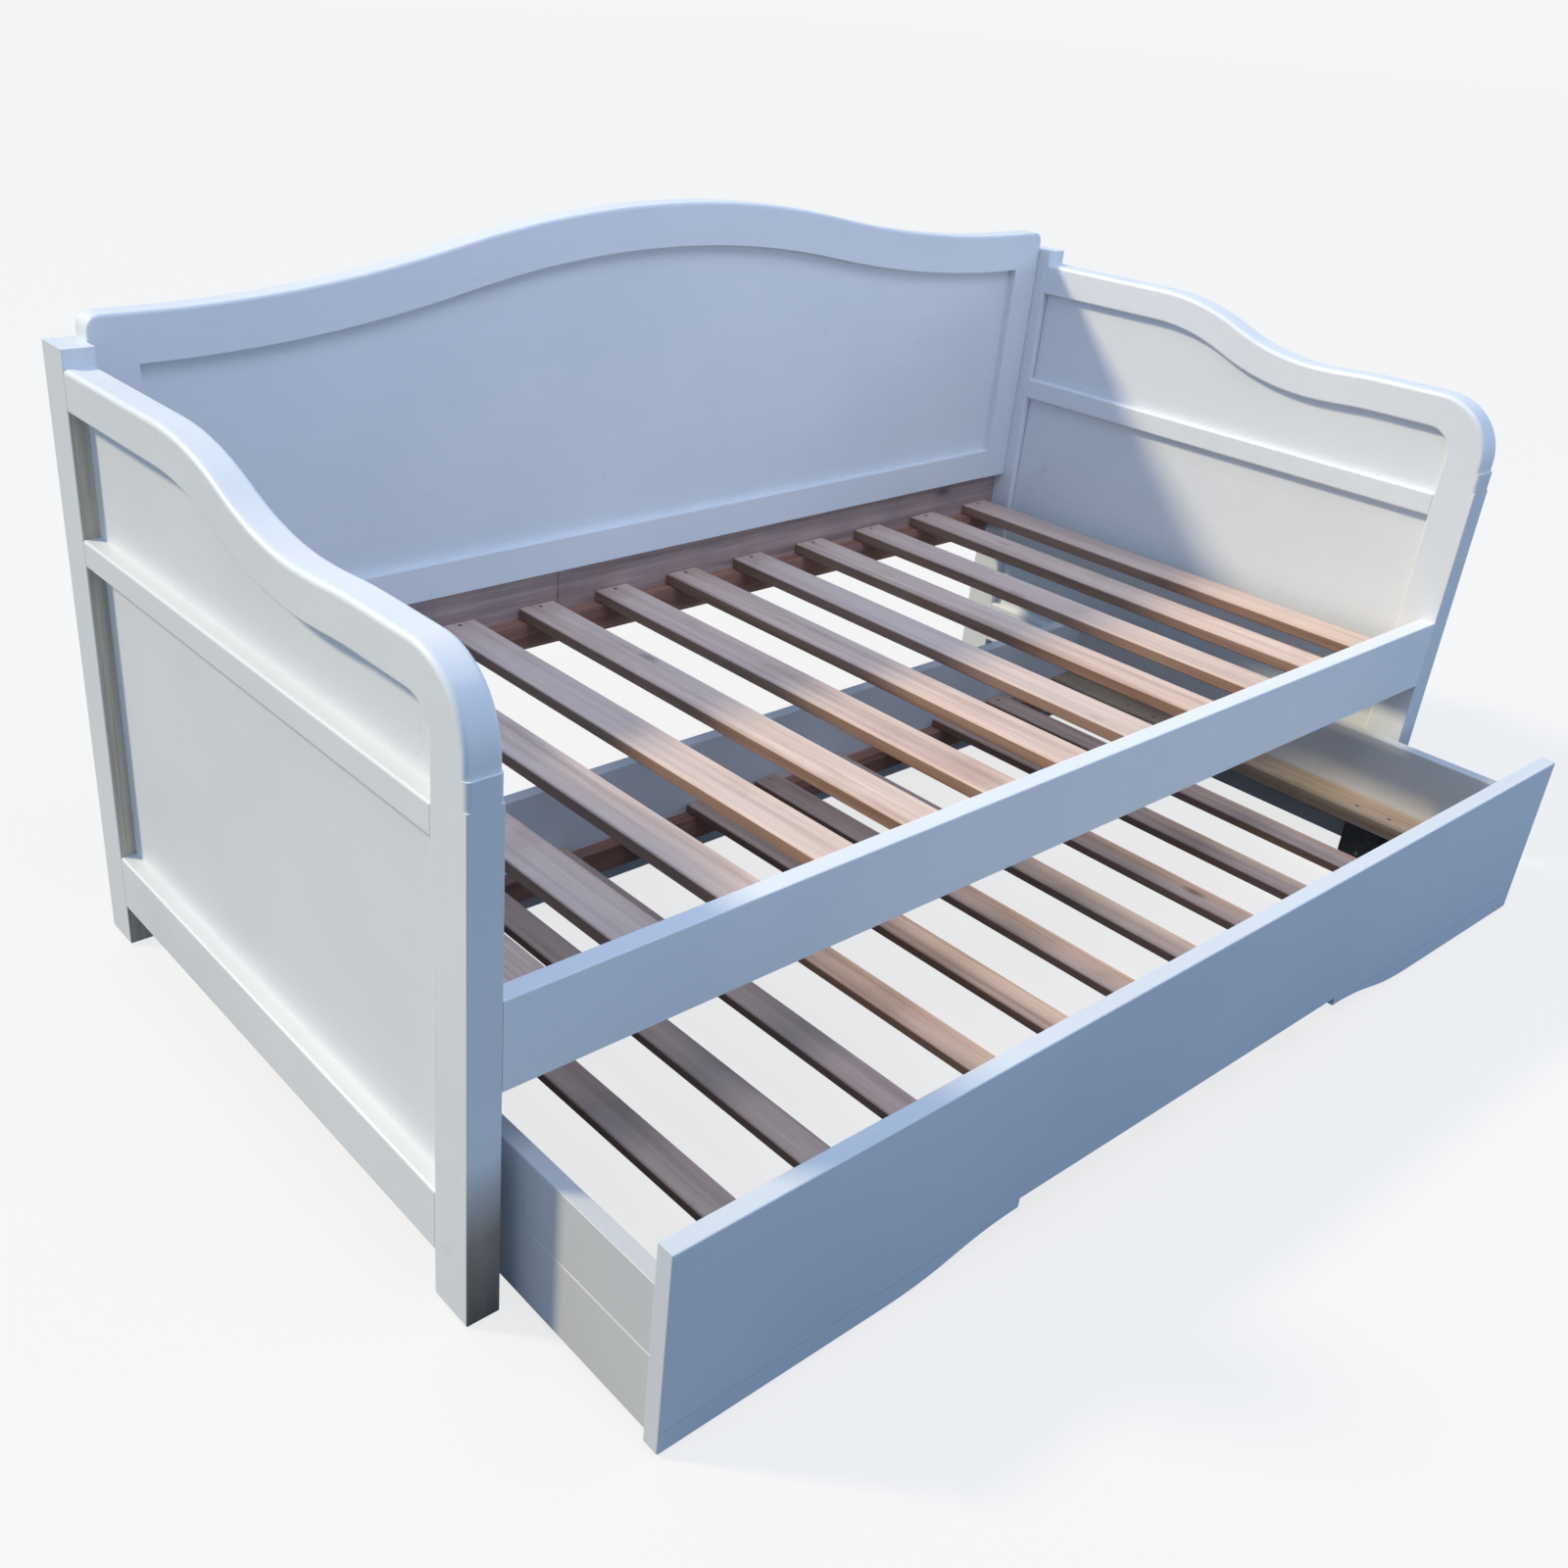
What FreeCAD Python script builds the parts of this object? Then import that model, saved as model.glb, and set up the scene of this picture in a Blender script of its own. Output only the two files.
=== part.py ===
import FreeCAD, Part

import math
import os
import re

import Sketcher

# A single day bed with a camel back and shaped ends, and a trundle bed on castors that rolls in under it.
# X runs along the bed, the sleeper comes in from -Y, +Z is up and the floor is Z = 0. The model stands
# with the trundle part-way out, and the origin is on the floor under the middle of the whole.

DIMENSIONS = [
    ("bed_length", 2000),
    ("bed_depth", 990),
    ("drawn_out", 259),
    # the two ends: posts, rails and thin inset panels
    ("end_thickness", 44),
    ("post_width", 66),
    ("rear_post_height", 890),
    ("front_post_height", 690),
    ("glide_height", 3),
    ("bottom_rail_foot", 66),
    ("bottom_rail_head", 153),
    ("middle_rail_foot", 602),
    ("middle_rail_head", 641),
    ("panel_thickness", 6),
    ("panel_setback", 24),
    ("groove_depth", 8),
    # the shaped top rail of an end, from the rear post to the front corner
    ("shoulder_height", 866),
    ("shoulder_end", 660),
    ("arm_low_height", 796),
    ("arm_low_at", 325),
    ("arm_height", 801),
    ("arm_rise_end", 205),
    ("arm_rail_width", 56),
    ("front_corner_radius", 97),
    ("opening_corner_radius", 38),
    ("front_corner_inset", 3),
    ("round_over", 7),
    ("round_over_stop", 32),
    ("painted_ease", 1.5),
    ("recess_ease", 4),
    # the back
    ("back_thickness", 41),
    ("back_foot", 437),
    ("back_shoulder_height", 923),
    ("back_crown_height", 1018),
    ("back_swell", 880),
    ("back_crown_share", 0.45),
    ("back_stile_width", 66),
    ("back_top_rail_width", 67),
    ("back_bottom_rail_width", 58),
    ("back_panel_setback", 14),
    ("back_corner_radius", 20),
    ("back_round_over", 5),
    # the long rails, the ledgers and the slats of the bed
    ("front_rail_thickness", 27),
    ("front_rail_foot", 314),
    ("front_rail_head", 430),
    ("rear_rail_thickness", 20),
    ("rear_rail_foot", 312),
    ("rear_rail_head", 434),
    ("rear_rail_joint_at", 187),
    ("board_joint_width", 1.6),
    ("board_joint_depth", 2),
    ("ledger_thickness", 25),
    ("ledger_end_gap", 38),
    ("slat_top", 378),
    ("slat_width", 70),
    ("slat_thickness", 20),
    ("slat_pitch", 161),
    ("slat_shift", 10),
    ("slat_end_gap", 2),
    ("slat_ease", 2),
    # the trundle: a front board, tongued side boards, a rear board, bearers and slats
    ("trundle_depth", 940),
    ("trundle_front_length", 1874),
    ("trundle_front_thickness", 24),
    ("trundle_front_foot", 6),
    ("trundle_front_head", 281),
    ("trundle_box_length", 1860),
    ("trundle_board_thickness", 22),
    ("trundle_board_foot", 12),
    ("trundle_board_joint", 118),
    ("trundle_board_head", 216),
    ("tongue", 6),
    ("vee", 1.5),
    ("board_ease", 1),
    ("bearer_width", 70),
    ("bearer_thickness", 27),
    ("trundle_ledger_height", 40),
    ("trundle_slat_top", 105),
    ("trundle_slat_width", 52),
    ("trundle_slat_thickness", 16),
    ("trundle_slat_pitch", 153.4),
    ("trundle_slat_shift", -32),
    # the finger cut-out and the scribed line along the foot of the trundle's front
    ("cutout_head", 46),
    ("cutout_step_foot", 32),
    ("cutout_half_width", 366),
    ("cutout_half_reach", 596),
    ("scribe_height", 34),
    ("scribe_depth", 1.5),
    # castors
    ("castor_setback", 203),
    ("castor_gap", 3),
    ("castor_screw_step", 30),
    ("castor_end_wall", 5),
    ("castor_width", 40),
    ("castor_length", 72),
    ("castor_foot", 18),
    ("castor_slot", 24),
    ("castor_corner", 6),
    ("wheel_radius", 28),
    ("wheel_width", 20),
    ("wheel_clearance", 5),
    ("wheel_bore_radius", 4.05),
    ("axle_radius", 4),
    # fasteners
    ("dowel_radius", 5),
    ("dowel_length", 50),
    ("dowel_chamfer", 1),
    ("screw_length", 35),
    ("bracket_screw_length", 18),
    ("screw_head_lip", 0.6),
    ("screw_head_height", 3.2),
    ("screw_point", 6),
    ("screw_head_radius", 4),
    ("screw_shank_radius", 2),
    ("ledger_screw_level", 336),
    ("ledger_screw_pitch", 340),
    ("trundle_ledger_screw_level", 66),
    ("trundle_ledger_screw_pitch", 310),
    ("bracket_level", 337),
    ("bracket_hole", 22),
    ("bracket_hole_rise", 8),
    ("bracket_arm", 34),
    ("bracket_height", 30),
    ("bracket_thickness", 2.5),
    ("cam_radius", 7.5),
    ("cam_depth", 16),
    ("cam_bolt_radius", 3.5),
    ("cam_bolt_reach", 26),
    ("cam_thread_length", 20),
    ("cam_line_depth", 10),
    ("glide_radius", 13),
]

SLAT_COUNT = 12
TRUNDLE_SLAT_COUNT = 10
LEDGER_SCREW_COUNT = 6

# Heights of the fasteners that come in rows, and how far back from the front the two corner dowels stand.
BOTTOM_RAIL_DOWELS = (90, 129)
TOP_RAIL_DOWEL = 838
CORNER_DOWELS = (20, 46)
LONG_RAIL_DOWELS = (372, 408)
BACK_DOWELS = (454, 478, 874, 904)
CAM_LEVELS = (520, 830)
SIDE_BOARD_SCREWS = (40, 90, 150, 190)

# Places that many pieces share, as expressions on the sheet.
BED_FRONT = "(drawn_out - bed_depth) / 2"
BED_REAR = "(drawn_out + bed_depth) / 2"
END_INSIDE = "(bed_length / 2 - end_thickness)"
LEDGER_HEAD = "(slat_top - slat_thickness)"
TRUNDLE_FRONT = "(0 - drawn_out - bed_depth) / 2"
TRUNDLE_LEDGER_HEAD = "(trundle_slat_top - trundle_slat_thickness)"

doc = FreeCAD.newDocument("TrundleBed")
sheet = doc.addObject("Spreadsheet::Sheet", "Dimensions")
for row, (alias, number) in enumerate(DIMENSIONS, start=1):
    sheet.set("A%d" % row, alias.replace("_", " "))
    sheet.set("B%d" % row, str(number))
    sheet.setAlias("B%d" % row, alias)
doc.recompute()

size = {alias: float(getattr(sheet, alias)) for alias, number in DIMENSIONS}
pieces = []


def cells(expression):
    """Points every name in an expression at its cell."""
    return re.sub(r"[a-z][a-z_]*", lambda name: "Dimensions." + name.group(0), str(expression))


def bind(thing, target, expression):
    thing.setExpression(target, cells(expression))


def place(thing, corner):
    for letter, expression in zip("xyz", corner):
        bind(thing, ".Placement.Base." + letter, expression)


def keep(thing, label):
    """Names a finished sub-part, which is then written to a file of that name."""
    thing.Label = label
    pieces.append(thing)
    return thing


def new_sketch(body, plane):
    sketch = body.newObject("Sketcher::SketchObject", body.Name + "_outline")
    support = [f for f in body.Origin.OriginFeatures if f.Role == plane][0]
    sketch.AttachmentSupport = [(support, "")]
    sketch.MapMode = "FlatFace"
    return sketch


def draw_rectangle(sketch, width, height):
    """A rectangle with one corner on the sketch's origin, its two sides bound to the sheet."""
    corners = [(0, 0), (100, 0), (100, 50), (0, 50)]
    points = [FreeCAD.Vector(u, v, 0) for u, v in corners]
    for i in range(4):
        sketch.addGeometry(Part.LineSegment(points[i], points[(i + 1) % 4]))
    for i in range(4):
        sketch.addConstraint(Sketcher.Constraint("Coincident", i, 2, (i + 1) % 4, 1))
        sketch.addConstraint(Sketcher.Constraint("Vertical" if i % 2 else "Horizontal", i))
    sketch.addConstraint(Sketcher.Constraint("Coincident", 0, 1, -1, 1))
    sides = (("width", "DistanceX", 0, width), ("height", "DistanceY", 1, height))
    for name, kind, side, expression in sides:
        index = sketch.addConstraint(Sketcher.Constraint(kind, side, 1, side, 2, 50.0))
        sketch.renameConstraint(index, name)
        bind(sketch, "Constraints." + name, expression)


def draw_outline(sketch, curves):
    """A closed outline of lines and arcs, given end to end."""
    for curve in curves:
        sketch.addGeometry(curve)
    ends = [(curve.StartPoint, curve.EndPoint) for curve in sketch.Geometry]
    count = len(ends)
    for i in range(count):
        following = (i + 1) % count
        pairs = [(a, b) for a in (1, 2) for b in (1, 2)]
        options = [(a, b, (ends[i][a - 1] - ends[following][b - 1]).Length) for a, b in pairs]
        a, b, gap = min(options, key=lambda option: option[2])
        sketch.addConstraint(Sketcher.Constraint("Coincident", i, a, following, b))


def pad(body, sketch, length, reversed_side=False):
    feature = body.newObject("PartDesign::Pad", body.Name + "_pad")
    feature.Profile = sketch
    feature.Reversed = reversed_side
    bind(feature, "Length", length)
    sketch.Visibility = False
    doc.recompute()
    return feature


def edge_names(shape, chosen):
    return ["Edge%d" % (i + 1) for i, edge in enumerate(shape.Edges) if chosen(edge)]


def soften(body, kind, target, amount, chosen):
    """Chamfers or fillets the chosen edges of the body as it stands."""
    before = body.Tip
    feature = body.newObject("PartDesign::" + kind, body.Name + "_" + kind.lower())
    feature.Base = (before, edge_names(before.Shape, chosen))
    bind(feature, target, amount)
    doc.recompute()
    return feature


def runs_along(letter):
    def chosen(edge):
        box = edge.BoundBox
        spans = {"x": box.XLength, "y": box.YLength, "z": box.ZLength}
        return spans[letter] > 1 and max(spans[k] for k in "xyz" if k != letter) < 0.01
    return chosen


def plank(label, width, depth, height, corner, ease=None, ease_along=None, rounded=False):
    """A straight board, given by its size along X, Y and Z and its lowest corner."""
    body = doc.addObject("PartDesign::Body", label + "_blank")
    sketch = new_sketch(body, "XY_Plane")
    draw_rectangle(sketch, width, depth)
    pad(body, sketch, height)
    if ease and rounded:
        soften(body, "Fillet", "Radius", ease, runs_along(ease_along))
    elif ease:
        soften(body, "Chamfer", "Size", ease, runs_along(ease_along))
    place(body, corner)
    return body


def painted(label, width, depth, height, corner, along, ease="painted_ease"):
    """A straight painted member, its long edges rounded."""
    return plank(label, width, depth, height, corner, ease, along, True)


def shaped(label, plane, curves, thickness, corner, reversed_side=False):
    """A board with a curved outline drawn in the YZ or XZ plane."""
    body = doc.addObject("PartDesign::Body", label + "_blank")
    sketch = new_sketch(body, plane)
    draw_outline(sketch, curves)
    pad(body, sketch, thickness, reversed_side)
    place(body, corner)
    return body


def joined(label, blank, *tools):
    """The blank with the mortises, grooves and holes that the other pieces need."""
    result = blank
    for number, tool in enumerate(tools, start=1):
        cut = doc.addObject("Part::Cut", "%s_cut_%d" % (label, number))
        cut.Base = result
        cut.Tool = tool
        result = cut
    return keep(result, label)


def at(x, y, z=0.0):
    return FreeCAD.Vector(x, y, z)


def line(a, b):
    return Part.LineSegment(at(*a), at(*b))


def arc(centre, radius, from_angle, to_angle):
    """Part of a circle between two angles, in radians from the first axis, drawn anticlockwise."""
    first, last = sorted((from_angle, to_angle))
    angles = (first, (first + last) / 2, last)
    points = [at(centre[0] + radius * math.cos(a), centre[1] + radius * math.sin(a)) for a in angles]
    return Part.Arc(*points)


def ogee(low, high, offset=0.0, high_share=0.5):
    """Two arcs from a low level to a high level, level at both ends, and moved in by the offset.
    They come low end first, and high_share is the high arc's share of the run."""
    run = high[0] - low[0]
    rise = high[1] - low[1]
    turn = 2 * math.atan2(rise, abs(run))
    low_radius = (1 - high_share) * abs(run) / math.sin(turn)
    high_radius = high_share * abs(run) / math.sin(turn)
    side = 1 if run > 0 else -1
    up = math.pi / 2
    low_arc = arc((low[0], low[1] + low_radius), low_radius + offset, -up, -up + side * turn)
    high_arc = arc((high[0], high[1] - high_radius), high_radius - offset, up + side * turn, up)
    return low_arc, high_arc


# ---- Fasteners, first, because the boards are bored for them ----

def turned(outline):
    """A solid of revolution about Z, from (radius, height) points."""
    points = [at(radius, 0, height) for radius, height in outline]
    face = Part.Face(Part.makePolygon(points + points[:1]))
    return face.revolve(at(0, 0, 0), at(0, 0, 1), 360)


def screw_shape(length):
    """A countersunk wood screw, head up at the origin, with a tapered point."""
    head = size["screw_head_radius"]
    shank = size["screw_shank_radius"]
    lip = size["screw_head_lip"]
    neck = size["screw_head_height"]
    point = size["screw_point"]
    tip = 0.2
    return turned([(0, 0), (head, 0), (head, -lip), (shank, -neck), (shank, point - length), (tip, -length),
                   (0, -length)])


def with_recess(solid, length, width, depth):
    """The fastener with a cross recess in its head, for the driver."""
    for turn in (0, 90):
        slot = Part.makeBox(length, width, depth, at(-length / 2, -width / 2, -depth))
        slot.rotate(at(0, 0, 0), at(0, 0, 1), turn)
        solid = solid.cut(slot)
    return solid


def dowel_shape():
    """A beech dowel along Z, centred on the origin, with its ends chamfered."""
    length = size["dowel_length"]
    solid = Part.makeCylinder(size["dowel_radius"], length, at(0, 0, -length / 2))
    return solid.makeChamfer(size["dowel_chamfer"], [edge for edge in solid.Edges if edge.Closed])


def copies(label, shape, spots):
    """One separate solid at each spot, given as a place and where the shape's +Z points."""
    solids = []
    for spot, direction in spots:
        copy = shape.copy()
        copy.Placement = FreeCAD.Placement(at(*spot), FreeCAD.Rotation(at(0, 0, 1), at(*direction)))
        solids.append(copy)
    feature = doc.addObject("Part::Feature", label)
    feature.Shape = Part.makeCompound(solids)
    return feature


def fasteners(label, shape, spots):
    """Identical fasteners, which are one sub-part. The boards are bored by their own shape."""
    return keep(copies(label, shape, spots), label)


def driven(label, shape, spots, length, width, depth):
    """Identical fasteners with a cross recess, and the holes that take them."""
    fasteners(label, with_recess(shape, length, width, depth), spots)
    return copies(label + "_holes", shape, spots)


half_length = size["bed_length"] / 2
inside = half_length - size["end_thickness"]
front = (size["drawn_out"] - size["bed_depth"]) / 2
rear = (size["drawn_out"] + size["bed_depth"]) / 2
trundle_front = -(size["drawn_out"] + size["bed_depth"]) / 2
front_rail_inside = front + size["front_rail_thickness"]
rear_rail_inside = rear - size["rear_rail_thickness"]
ledger = size["ledger_thickness"]
end_middle = half_length - size["end_thickness"] / 2
post = size["post_width"]
back_stile = size["back_stile_width"]
rail_ends = (front + post, rear - post)
SIDES = (-1, 1)

along_x = (1, 0, 0)
along_y = (0, 1, 0)
upright = (0, 0, 1)

dowel_spots = []
for side in SIDES:
    middle = side * end_middle
    rail_heights = BOTTOM_RAIL_DOWELS + ((size["middle_rail_foot"] + size["middle_rail_head"]) / 2,)
    dowel_spots += [((middle, y, z), along_y) for z in rail_heights for y in rail_ends]
    dowel_spots.append(((middle, rail_ends[1], TOP_RAIL_DOWEL), along_y))
    dowel_spots += [((middle, front + d, size["front_post_height"]), upright) for d in CORNER_DOWELS]
    front_rail_middle = front + size["front_rail_thickness"] / 2
    rear_rail_middle = rear - size["rear_rail_thickness"] / 2
    dowel_spots += [((side * inside, front_rail_middle, z), along_x) for z in LONG_RAIL_DOWELS]
    dowel_spots += [((side * inside, rear_rail_middle, z), along_x) for z in LONG_RAIL_DOWELS]
    back_middle = rear - size["back_thickness"] / 2
    back_joint = side * (inside - back_stile)
    dowel_spots += [((back_joint, back_middle, z), along_x) for z in BACK_DOWELS]
dowels = fasteners("frame_dowels", dowel_shape(), dowel_spots)


def row_middles(count, pitch, shift):
    """The middles of a row of like pieces, evenly spaced about the shift."""
    return [shift + (i - (count - 1) / 2) * pitch for i in range(count)]


bracket_level = size["bracket_level"]
bracket_hole = size["bracket_hole"]
bracket_hole_rise = size["bracket_hole_rise"]

slat_x = row_middles(SLAT_COUNT, size["slat_pitch"], size["slat_shift"])
ledger_lines = (front_rail_inside + ledger / 2, rear_rail_inside - ledger / 2)
slat_spots = [((x, y, size["slat_top"]), upright) for x in slat_x for y in ledger_lines]
for x in row_middles(LEDGER_SCREW_COUNT, size["ledger_screw_pitch"], size["slat_shift"]):
    slat_spots.append(((x, front_rail_inside + ledger, size["ledger_screw_level"]), (0, 1, 0)))
    slat_spots.append(((x, rear_rail_inside - ledger, size["ledger_screw_level"]), (0, -1, 0)))
screw_recess = (4.8, 0.9, 1.4)
wood_screw = screw_shape(size["screw_length"])
slat_screws = driven("slat_screws", wood_screw, slat_spots, *screw_recess)

bracket_spots = []
for side in SIDES:
    wall = side * (inside - size["bracket_thickness"])
    reach = side * (inside - bracket_hole)
    for rail, inward in ((front_rail_inside, 1), (rear_rail_inside, -1)):
        plate = rail + inward * size["bracket_thickness"]
        for z in (bracket_level - bracket_hole_rise, bracket_level + bracket_hole_rise):
            bracket_spots.append(((wall, rail + inward * bracket_hole, z), (-side, 0, 0)))
            bracket_spots.append(((reach, plate, z), (0, inward, 0)))
bracket_screw = screw_shape(size["bracket_screw_length"])
bracket_screws = driven("bracket_screws", bracket_screw, bracket_spots, *screw_recess)

cam_line_depth = size["cam_line_depth"]


def cam_bolt_shape():
    """A cam bolt along +Z from its thread in the post to the ball that the cam lock grips."""
    radius = size["cam_bolt_radius"]
    neck = radius - 1
    thread = size["cam_thread_length"]
    ball_head = size["cam_bolt_reach"] - 3
    ball_foot = ball_head - 4
    return turned([(0, -thread), (neck, -thread), (radius, 2 - thread), (radius, 0), (neck, 0),
                   (neck, ball_foot - 1), (radius, ball_foot), (radius, ball_head), (0, ball_head)])


def cam_lock_shape():
    """A round cam lock with its mouth up at the origin and a hollow across it for the bolt."""
    width = 2 * size["cam_radius"]
    solid = Part.makeCylinder(size["cam_radius"], size["cam_depth"], at(0, 0, -size["cam_depth"]))
    mouth = at(-width / 2, 0, -cam_line_depth)
    hollow = Part.makeCylinder(size["cam_bolt_radius"], width, mouth, at(1, 0, 0))
    return solid.cut(hollow)


cam_places = [(side, level) for side in SIDES for level in CAM_LEVELS]
cam_spots = [((side * inside, rear - cam_line_depth, z), (-side, 0, 0)) for side, z in cam_places]
cam_bolts = fasteners("cam_bolts", cam_bolt_shape(), cam_spots)
cam_lock_spots = [((side * (inside - size["cam_bolt_reach"]), rear, z), along_y) for side, z in cam_places]
cam_recess = (9, 1.4, 3)
fasteners("cam_locks", with_recess(cam_lock_shape(), *cam_recess), cam_lock_spots)
cam_bore = Part.makeCylinder(size["cam_radius"], size["cam_depth"], at(0, 0, -size["cam_depth"]))
cam_bores = copies("cam_bores", cam_bore, cam_lock_spots)


# ---- The two ends ----

def end_curve(offset, corner_centre, corner_radius, foot, front_edge, rear_edge):
    """The shaped line of an end, from the front edge to the rear: up, round the corner, along the arm,
    through the dip and up the ogee to the shoulder. Its first axis starts at the front of the posts."""
    arm = size["arm_height"] - offset
    rise_end = (size["arm_rise_end"], size["arm_height"])
    low = (size["arm_low_at"], size["arm_low_height"])
    shoulder = (size["shoulder_end"], size["shoulder_height"])
    shoulder_level = size["shoulder_height"] - offset
    dip_low, dip_high = ogee(low, rise_end, offset)
    sweep_low, sweep_high = ogee(low, shoulder, offset)
    corner = arc(corner_centre, corner_radius, math.pi, math.pi / 2)
    return [
        line((front_edge, foot), (front_edge, corner_centre[1])),
        corner,
        line((corner_centre[0], arm), (rise_end[0], arm)),
        dip_high,
        dip_low,
        sweep_low,
        sweep_high,
        line((shoulder[0], shoulder_level), (rear_edge, shoulder_level)),
    ]


def closed_under(curves, front_edge, rear_edge, foot, level):
    """Closes an end curve with its rear edge and its foot."""
    return curves + [line((rear_edge, level), (rear_edge, foot)), line((rear_edge, foot), (front_edge, foot))]


def polygon(points):
    return [line(points[i], points[(i + 1) % len(points)]) for i in range(len(points))]


def on_curves(curves, axes):
    """Chooses the edges that follow the drawn curves, on either face of the board."""
    middles = [curve.value((curve.FirstParameter + curve.LastParameter) / 2) for curve in curves]

    def chosen(edge):
        point = edge.valueAt((edge.FirstParameter + edge.LastParameter) / 2)
        u, v = (getattr(point, axis) for axis in axes)
        return any(abs(u - m.x) < 0.5 and abs(v - m.y) < 0.5 for m in middles)
    return chosen


rail_width = size["arm_rail_width"]
groove = size["groove_depth"]
corner_radius = size["front_corner_radius"]
corner_inset = size["front_corner_inset"]
corner_centre = (corner_inset + corner_radius, size["arm_height"] - corner_radius)
opening_radius = size["opening_corner_radius"]
opening_centre = (post + opening_radius, size["arm_height"] - rail_width - opening_radius)
rail_rear = size["bed_depth"] - post
post_head = size["front_post_height"]


def top_rail(label, corner):
    """The shaped rail: the line of the end, and the line of the opening a rail's width inside it."""
    outer = end_curve(0, corner_centre, corner_radius, post_head, corner_inset, rail_rear)
    inner = end_curve(rail_width, opening_centre, opening_radius, post_head, post, rail_rear)
    shoulder_level = size["shoulder_height"]
    rear_joint = line((rail_rear, shoulder_level), (rail_rear, shoulder_level - rail_width))
    front_joint = line((post, post_head), (corner_inset, post_head))
    outline = outer + [rear_joint] + inner[::-1] + [front_joint]
    blank = shaped(label, "YZ_Plane", outline, "end_thickness", corner)
    soften(blank, "Fillet", "Radius", "round_over", on_curves(outer, "yz"))
    soften(blank, "Fillet", "Radius", "recess_ease", on_curves(inner, "yz"))
    return blank


def upper_panel(label, corner):
    """The shaped panel, which goes into the grooves all round."""
    top = rail_width - groove
    front_edge = post - groove
    rear_edge = rail_rear + groove
    foot = size["middle_rail_head"] - groove
    curves = end_curve(top, opening_centre, opening_radius + groove, foot, front_edge, rear_edge)
    outline = closed_under(curves, front_edge, rear_edge, foot, size["shoulder_height"] - top)
    return shaped(label, "YZ_Plane", outline, "panel_thickness", corner)


RAIL_LENGTH = "bed_depth - 2 * post_width"
PANEL_LENGTH = "bed_depth - 2 * post_width + 2 * groove_depth"
ENDS = {
    "left": ("0 - bed_length / 2", "panel_setback - bed_length / 2"),
    "right": ("bed_length / 2 - end_thickness", "bed_length / 2 - panel_setback - panel_thickness"),
}


upper_opening = size["shoulder_height"] - rail_width
lower_recess = (size["bottom_rail_head"], size["middle_rail_foot"])
post_recesses = {
    "front": (lower_recess, (size["middle_rail_head"], post_head)),
    "rear": (lower_recess, (size["middle_rail_head"], upper_opening)),
}


def recess_arrises(label, post_name, outer_x, inner_x):
    """What the stopped round-overs beside the panels take off the arrises of a post."""
    ease = size["recess_ease"]
    edge_y, into_y = (front + post, -1) if post_name == "front" else (rear - post, 1)
    chips = []
    for edge_x, into_x in ((outer_x, 1), (inner_x, -1)):
        for foot, head in post_recesses[post_name]:
            low_x = min(edge_x, edge_x + into_x * ease)
            low_y = min(edge_y, edge_y + into_y * ease)
            block = Part.makeBox(ease, ease, head - foot, at(low_x, low_y, foot))
            round_middle = at(edge_x + into_x * ease, edge_y + into_y * ease, foot)
            chips.append(block.cut(Part.makeCylinder(ease, head - foot, round_middle)))
    feature = doc.addObject("Part::Feature", label)
    feature.Shape = Part.makeCompound(chips)
    return feature


def front_arrises(edge):
    """Chooses the two upright edges on the front of a blank."""
    box = edge.BoundBox
    return box.ZLength > 1 and box.YMax < 0.01


LOWER_PANEL_HEIGHT = "middle_rail_foot - bottom_rail_head + 2 * groove_depth"
PANEL_START = BED_FRONT + " + post_width - groove_depth"
for name, (post_x, panel_x) in ENDS.items():
    low_x = -half_length if name == "left" else inside
    high_x = low_x + size["end_thickness"]
    upper = keep(upper_panel(name + "_upper_panel", (panel_x, BED_FRONT, 0)), name + "_upper_panel")
    lower = plank(name + "_lower_panel", "panel_thickness", PANEL_LENGTH, LOWER_PANEL_HEIGHT,
                  (panel_x, PANEL_START, "bottom_rail_head - groove_depth"))
    keep(lower, name + "_lower_panel")

    post_shank = painted(name + "_front_post_shank", "end_thickness", "post_width",
                         "front_post_height - glide_height - round_over_stop",
                         (post_x, BED_FRONT, "glide_height"), "z")
    post_top = plank(name + "_front_post_top", "end_thickness", "post_width", "round_over_stop",
                     (post_x, BED_FRONT, "front_post_height - round_over_stop"))
    soften(post_top, "Fillet", "Radius", "round_over", front_arrises)
    front_post = doc.addObject("Part::Fuse", name + "_front_post_whole")
    front_post.Base = post_shank
    front_post.Tool = post_top
    rear_post = painted(name + "_rear_post", "end_thickness", "post_width", "rear_post_height - glide_height",
                        (post_x, BED_REAR + " - post_width", "glide_height"), "z")
    front_chips = recess_arrises(name + "_front_chips", "front", low_x, high_x)
    rear_chips = recess_arrises(name + "_rear_chips", "rear", low_x, high_x)
    rail_start = BED_FRONT + " + post_width"
    middle_rail = painted(name + "_middle_rail", "end_thickness", RAIL_LENGTH,
                          "middle_rail_head - middle_rail_foot", (post_x, rail_start, "middle_rail_foot"),
                          "y", "recess_ease")
    bottom_rail = painted(name + "_bottom_rail", "end_thickness", RAIL_LENGTH,
                          "bottom_rail_head - bottom_rail_foot", (post_x, rail_start, "bottom_rail_foot"),
                          "y", "recess_ease")
    shaped_rail = top_rail(name + "_top_rail", (post_x, BED_FRONT, 0))

    joined(name + "_front_post", front_post, front_chips, upper, lower, dowels, bracket_screws)
    joined(name + "_rear_post", rear_post, rear_chips, upper, lower, dowels, bracket_screws, cam_bolts)
    joined(name + "_middle_rail", middle_rail, upper, lower, dowels)
    joined(name + "_bottom_rail", bottom_rail, lower, dowels)
    joined(name + "_top_rail", shaped_rail, upper, dowels)


# ---- The back ----

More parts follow.
